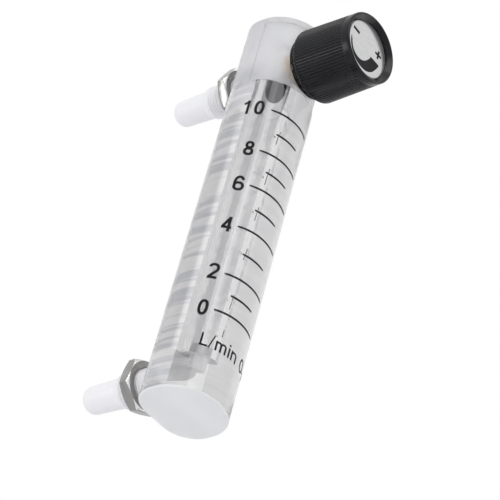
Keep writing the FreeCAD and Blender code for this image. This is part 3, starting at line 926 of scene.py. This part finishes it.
def united(meshes):
    """One clean mesh out of several overlapping plates."""
    holders = []
    for part in meshes:
        bm = bmesh.new()
        bm.from_mesh(part)
        bmesh.ops.recalc_face_normals(bm, faces=bm.faces)
        bm.to_mesh(part)
        bm.free()
        holders.append(placed("stroke", part))
    add_booleans(holders[0], holders[1:], "UNION")
    made = with_steps_done(holders[0])
    for holder in holders:
        bpy.data.objects.remove(holder)
    return made


def joined(meshes):
    """One mesh out of several that stay apart."""
    bm = bmesh.new()
    for part in meshes:
        bm.from_mesh(part)
    made = bpy.data.meshes.new("joined")
    bm.to_mesh(made)
    bm.free()
    return made


def text_mesh(text, left, low, width, height, weight=1.0):
    """Letters from a lower left corner; width and height are those of the capital height's unit."""
    made = []
    for char in text:
        stroke = STROKE * height * weight * (SLASH_WEIGHT if char == "/" else 1.0)
        strokes, advance = letter(char)
        paths = [[(left + u * width, low + v * height) for u, v in path] for path in strokes]
        made.append(united([stroke_mesh(path, stroke) for path in paths]))
        left += advance * width
    return joined(made)


def wrapped(name, mesh_data):
    """Bends a flat print (x along the arc, y up, in millimetres) round the body's front."""
    bm = bmesh.new()
    bm.from_mesh(mesh_data)
    xs = [v.co.x for v in bm.verts]
    cut = min(xs)
    while cut < max(xs):
        cut += BEND_STEP
        geometry = bm.verts[:] + bm.edges[:] + bm.faces[:]
        bmesh.ops.bisect_plane(
            bm, geom=geometry, dist=SAME_PLACE, plane_co=(cut, 0, 0), plane_no=(1, 0, 0))
    for v in bm.verts:
        a = v.co.x / FRONT_R
        r = FRONT_R + v.co.z
        v.co = Vector((r * math.sin(a), -r * math.cos(a), v.co.y)) * MM
    bmesh.ops.remove_doubles(bm, verts=bm.verts, dist=SAME_PRINT_POINT)
    bmesh.ops.recalc_face_normals(bm, faces=bm.faces)
    out = bpy.data.meshes.new(name)
    bm.to_mesh(out)
    bm.free()
    for polygon in out.polygons:
        polygon.use_smooth = False
    return placed(name, out)


def arc(degrees):
    """Length along the round front, from its middle."""
    return math.radians(degrees) * FRONT_R


def mark_mesh(z, number):
    """A scale mark, long beside a number, that gets a little thinner at its ends."""
    start, end = (arc(a) for a in (SHORT_MARK if number is None else LONG_MARK))
    half = MARK_WIDTH / 2
    tip = half * MARK_TIP
    return bar_mesh([
        (start, z - tip), (start + MARK_TAPER, z - half), (end - MARK_TAPER, z - half), (end, z - tip),
        (end, z + tip), (end - MARK_TAPER, z + half), (start + MARK_TAPER, z + half), (start, z + tip),
    ])


def number_mesh(z, number):
    figures = str(number)
    angles = TEN_ANGLES if len(figures) == 2 else (FIGURE_ANGLE,)
    low = z - FIGURE_HEIGHT / 2
    return joined([
        text_mesh(figure, arc(a) - HALF_FIGURE * FIGURE_HEIGHT, low, FIGURE_HEIGHT, FIGURE_HEIGHT)
        for figure, a in zip(figures, angles)
    ])


def make_scale_print():
    parts = []
    for z, number in MARKS:
        parts.append(mark_mesh(z, number))
        if number is not None:
            parts.append(number_mesh(z, number))
    for text, angle, low, width, height, weight in UNIT_TEXTS:
        parts.append(text_mesh(text, arc(angle), low, width, height, weight))
    scale = wrapped("scale_print", joined(parts))
    finish_piece(scale, "meter", "black_plastic", finish="black_ink")


def make_hairlines():
    lines = []
    for low, high, angle in HAIRLINES:
        left = arc(angle) - HAIRLINE_HALF
        right = arc(angle) + HAIRLINE_HALF
        corners = [(left, low), (right, low), (right + HAIRLINE_LEAN, high), (left + HAIRLINE_LEAN, high)]
        lines.append(bar_mesh(corners, INK * HAIRLINE_INK))
    fine = wrapped("scale_hairlines", joined(lines))
    finish_piece(fine, "meter", "black_plastic", finish="grey_ink")


def make_fitting(name, node, z):
    """A hose fitting: threaded shank, straight nozzle with a round end, through passage and a seal's seat."""
    shank = spaced((STUD_R, SHANK_Y), (STUD_R, STUD_END_Y), THREAD_STEP)
    ends = rounded([
        (STUD_R, STUD_END_Y, 0.0), (NOZZLE_R, NOZZLE_Y, NOZZLE_BASE_ROUND),
        (NOZZLE_R - NOZZLE_DRAFT, TIP_Y, NOZZLE_ROUND), (PASSAGE_R, TIP_Y, EDGE_ROUND),
        (PASSAGE_R, SEAL_Y, 0.0), (SEAL_R, SEAL_Y, EDGE_ROUND), (SEAL_R, SHANK_Y, 0.0),
    ], 10)
    fitting = turned(name, [*shank, *ends[1:]], FITTING_FACES, on_y(z), closed=True, sharp_angle=50,
                     shape=thread(THREAD_START_Y, THREAD_END_Y, STUD_R, THREAD_DEPTH))
    finish_piece(fitting, "meter", "white_plastic", node)


def make_nut(name, node, z, front, turn):
    rear = front + NUT_THICKNESS
    corner_r = NUT_FLATS / math.sqrt(3)
    angles = [math.radians(60 * k + turn) for k in range(6)]
    points = [(-corner_r * math.cos(a), y, z - corner_r * math.sin(a)) for y in (front, rear) for a in angles]
    faces = [tuple(range(6)), tuple(range(6, 12))[::-1]]
    faces += [(k, 6 + k, 6 + (k + 1) % 6, (k + 1) % 6) for k in range(6)]
    nut = piece(name, points, faces)

    hole_r = STUD_R + THREAD_FIT
    face_r = corner_r - 2 * NUT_CHAMFER
    side_r = corner_r + NUT_MARGIN
    hole = spaced((hole_r, rear - NUT_BORE_CHAMFER), (hole_r, front + NUT_BORE_CHAMFER), THREAD_STEP)
    envelope = turned("envelope", [
        (hole_r + NUT_BORE_CHAMFER, front), (face_r, front), (side_r, front + NUT_CHAMFER),
        (side_r, rear - NUT_CHAMFER), (face_r, rear), (hole_r + NUT_BORE_CHAMFER, rear), *hole,
    ], NUT_FACES, on_y(z), closed=True)
    boolean(nut, [envelope], "INTERSECT", 25)

    edge = nut.modifiers.new("edge", "BEVEL")
    edge.width = NUT_EDGE * MM
    edge.segments = 2
    edge.limit_method = "ANGLE"
    edge.angle_limit = math.radians(NUT_EDGE_ANGLE)
    finish_steps(nut, 30)
    finish_piece(nut, "meter", "nickel_plate", node)
    # The faces round the chamfers get the brighter plate: a painted highlight.
    nut.data.materials.append(finishes["nickel_edge"])
    for polygon in nut.data.polygons:
        x, y, height = (c / MM for c in polygon.center)
        from_end = min(y - front, rear - y)
        outside = math.hypot(x, height - z) > NUT_FLATS / 2 - HIGHLIGHT_INSIDE
        if outside and NEAR < from_end < HIGHLIGHT_REACH * NUT_CHAMFER:
            polygon.material_index = 1


def knob_outside(y):
    """Radius of the knob's tapered flank."""
    taper = (KNOB_REAR_R - KNOB_FRONT_R) / (KNOB_REAR_Y - KNOB_FRONT_Y)
    return KNOB_FRONT_R + taper * (y - KNOB_FRONT_Y)


def knob_profile(band_y):
    """Half section of the knob: recess, rim, smooth band, ribbed flank, rear edge, cavity and hub."""
    recess_r = DISC_R + DISC_FIT
    land_r = DISC_R + RIM_LAND
    rim = rounded([
        (0, DISC_BACK_Y, 0), (recess_r, DISC_BACK_Y, RECESS_ROUND),
        (recess_r, KNOB_FRONT_Y + RIM_BEVEL_DEPTH, RIM_BEVEL_ROUND),
        (land_r, KNOB_FRONT_Y, EDGE_ROUND), (KNOB_FRONT_R, KNOB_FRONT_Y, 0),
    ], 5)
    edge = rounded([
        (land_r, KNOB_FRONT_Y, 0), (KNOB_FRONT_R, KNOB_FRONT_Y, RIM_ROUND), (knob_outside(band_y), band_y, 0),
    ], 10)
    ribbed_y = band_y + RIB_FADE
    flank_length = KNOB_REAR_Y - FLANK_END - ribbed_y
    heights = [band_y + step for step in (*BAND_STEPS, RIB_FADE)]
    heights += [ribbed_y + flank_length * k / FLANK_STEPS for k in range(1, FLANK_STEPS + 1)]
    inside = rounded([
        (KNOB_REAR_R - REAR_LAND, KNOB_REAR_Y, 0), (CAVITY_R, KNOB_REAR_Y, EDGE_ROUND),
        (CAVITY_R - CAVITY_DRAFT, CAVITY_FLOOR_Y, CAVITY_FILLET), (HUB_ROOT_R, CAVITY_FLOOR_Y, CAVITY_FILLET),
        (HUB_END_R, HUB_END_Y + HUB_RELIEF, EDGE_ROUND), (HUB_LIP_R, HUB_END_Y + HUB_RELIEF, 0),
        (HUB_BORE_R, HUB_END_Y, 0), (HUB_BORE_R, HUB_BORE_END_Y, 0), (0, HUB_BORE_END_Y, 0),
    ], 4)
    return [
        *rim[:-1], *edge[1:-1], *((knob_outside(y), y) for y in heights),
        *((KNOB_REAR_R - inward, KNOB_REAR_Y - ahead) for inward, ahead in REAR_CURVE), *inside,
    ]


def make_knob():
    band_y = KNOB_FRONT_Y + KNOB_BAND

    def ribs(r, y, a):
        if r < RIB_INSIDE_R or y < band_y - NEAR:
            return r
        share = (a * RIB_COUNT / (2 * math.pi)) % 1.0
        crest = clamped((0.5 - abs(share - 0.5)) * RIB_FLANK - RIB_GROOVE)
        crest = crest * crest * (3 - 2 * crest)
        return r - RIB_HEIGHT * (1 - crest) * clamped((y - band_y) / RIB_FADE)

    knob = turned("knob_shell", knob_profile(band_y), RIB_COUNT * RIB_SEGMENTS, on_y(OUTLET_Z),
                  shape=ribs, sharp_angle=60)
    finish_piece(knob, "knob", "black_plastic", "knob")


def make_disc():
    profile = rounded([
        (0, DISC_Y, 0), (DISC_R, DISC_Y, DISC_ROUND), (DISC_R, DISC_BACK_Y, 0), (0, DISC_BACK_Y, 0),
    ], 4)
    disc = turned("knob_face", profile, DISC_FACES, on_y(OUTLET_Z))
    finish_piece(disc, "knob", "silver_disc", "knob_disc")


def plus_outline():
    """The twelve corners of the plus: three for each of its quarters."""
    out = []
    quarter = [(-PLUS_ARM, -PLUS_HALF), (-PLUS_HALF, -PLUS_HALF), (-PLUS_HALF, -PLUS_ARM)]
    for _ in range(4):
        out += [(PLUS_CENTRE[0] + x, PLUS_CENTRE[1] + y) for x, y in quarter]
        quarter = [(-y, x) for x, y in quarter]
    return out


def curved(knots, steps=8):
    """Points along a smooth curve through knots of (angle in degrees, radius)."""
    out = []
    last = len(knots) - 1
    for i in range(last):
        four = (knots[max(i - 1, 0)], knots[i], knots[i + 1], knots[min(i + 2, last)])
        for k in range(steps + (i == last - 1)):
            t = k / steps
            a, r = (0.5 * (2 * q1 + (q2 - q0) * t + (2 * q0 - 5 * q1 + 4 * q2 - q3) * t * t
                           + (3 * q1 - q0 - 3 * q2 + q3) * t ** 3)
                    for q0, q1, q2, q3 in zip(*four))
            out.append((r * math.cos(math.radians(a)), r * math.sin(math.radians(a))))
    return out


def make_disc_print():
    """The signs and the wedge, laid flat on the disc."""
    wedge = curved(WEDGE_OUTSIDE) + curved(WEDGE_INSIDE)[::-1]
    flat = joined([bar_mesh(outline) for outline in (MINUS, plus_outline(), wedge)])
    for v in flat.vertices:
        v.co = Vector((v.co.x, DISC_Y - v.co.z, OUTLET_Z + v.co.y)) * MM
    clean(flat)
    finish_piece(placed("disc_print", flat), "knob", "black_plastic", finish="black_ink")


def make_float():
    nose_z = FLOAT_TOP_Z - FLOAT_LENGTH
    groove_start, groove_low, groove_high = (FLOAT_RIM_Z - below for below in FLOAT_GROOVE)
    profile = rounded([
        (0, nose_z, 0), (FLOAT_NOSE_R, nose_z, FLOAT_NOSE_ROUND),
        (FLOAT_R, nose_z + FLOAT_NOSE_LENGTH, FLOAT_SHOULDER_ROUND),
        (FLOAT_R, groove_start, SHARP_ROUND), (FLOAT_GROOVE_R, groove_low, SHARP_ROUND),
        (FLOAT_GROOVE_R, groove_high, SHARP_ROUND), (FLOAT_R, FLOAT_RIM_Z, SHARP_ROUND),
        (FLOAT_R, FLOAT_TOP_Z, EDGE_ROUND), (0, FLOAT_TOP_Z, 0),
    ], 8)
    finish_piece(turned("float_bob", profile, FLOAT_FACES, on_z), "float", "float_steel", "float")


def make_floor():
    bpy.ops.mesh.primitive_plane_add(size=FLOOR_SIZE, location=(0, 0, FLOOR_Z))
    floor = bpy.context.object
    floor.name = "floor"
    floor.data.materials.append(Finish("floor_pale", FLOOR_GREY, 0.9).material)


def make_world():
    """White where it is seen, mirrored or looked at through acrylic, and a little dimmer as light."""
    world = bpy.data.worlds.new("studio")
    bpy.context.scene.world = world
    world.use_nodes = True
    tree = world.node_tree
    tree.nodes.clear()

    def either(first, second):
        made = tree.nodes.new("ShaderNodeMath")
        made.operation = "MAXIMUM"
        tree.links.new(first, made.inputs[0])
        tree.links.new(second, made.inputs[1])
        return made.outputs[0]

    def background(colour, strength):
        made = tree.nodes.new("ShaderNodeBackground")
        made.inputs["Color"].default_value = (*colour, 1)
        made.inputs["Strength"].default_value = strength
        return made.outputs[0]

    path = tree.nodes.new("ShaderNodeLightPath").outputs
    mirrored = either(path["Is Glossy Ray"], path["Is Transmission Ray"])
    mix = tree.nodes.new("ShaderNodeMixShader")
    tree.links.new(either(path["Is Camera Ray"], mirrored), mix.inputs["Fac"])
    tree.links.new(background(AMBIENT_COLOUR, AMBIENT_STRENGTH), mix.inputs[1])
    tree.links.new(background((1, 1, 1), 1.0), mix.inputs[2])
    output = tree.nodes.new("ShaderNodeOutputWorld")
    tree.links.new(mix.outputs[0], output.inputs["Surface"])


def make_lamps():
    for name, location, size, power in LAMPS:
        data = bpy.data.lights.new(name, "AREA")
        data.shape = "SQUARE"
        data.size = size
        data.energy = power
        lamp = placed(name, data)
        lamp.location = location
        lamp.rotation_mode = "QUATERNION"
        lamp.rotation_quaternion = (Vector(LAMP_TARGET) - lamp.location).to_track_quat("-Z", "Y")


def make_camera():
    data = bpy.data.cameras.new("camera")
    data.sensor_width = SENSOR_WIDTH
    data.lens = FOCAL_WIDTHS * SENSOR_WIDTH
    data.clip_start = 0.01
    data.clip_end = 20.0
    ahead = Vector(CAMERA_AHEAD).normalized()
    up = Vector(CAMERA_RIGHT).cross(ahead).normalized()
    right = ahead.cross(up).normalized()
    turn = Matrix((right, up, -ahead)).transposed().to_4x4()
    camera = placed("camera", data)
    camera.matrix_world = Matrix.Translation(CAMERA_PLACE) @ turn
    bpy.context.scene.camera = camera


finishes = make_finishes()
carry_over()
make_body()
make_scale_print()
make_hairlines()
make_fitting("inlet_nozzle", "inlet_fitting", INLET_Z)
make_fitting("outlet_nozzle", "outlet_fitting", OUTLET_Z)
make_nut("inlet_hex_nut", "inlet_nut", INLET_Z, INLET_NUT_Y, INLET_NUT_TURN)
make_nut("outlet_hex_nut", "outlet_nut", OUTLET_Z, OUTLET_NUT_Y, OUTLET_NUT_TURN)
make_knob()
make_disc()
make_disc_print()
make_float()
make_floor()
make_world()
make_lamps()
make_camera()
bpy.context.scene.view_settings.view_transform = "Standard"
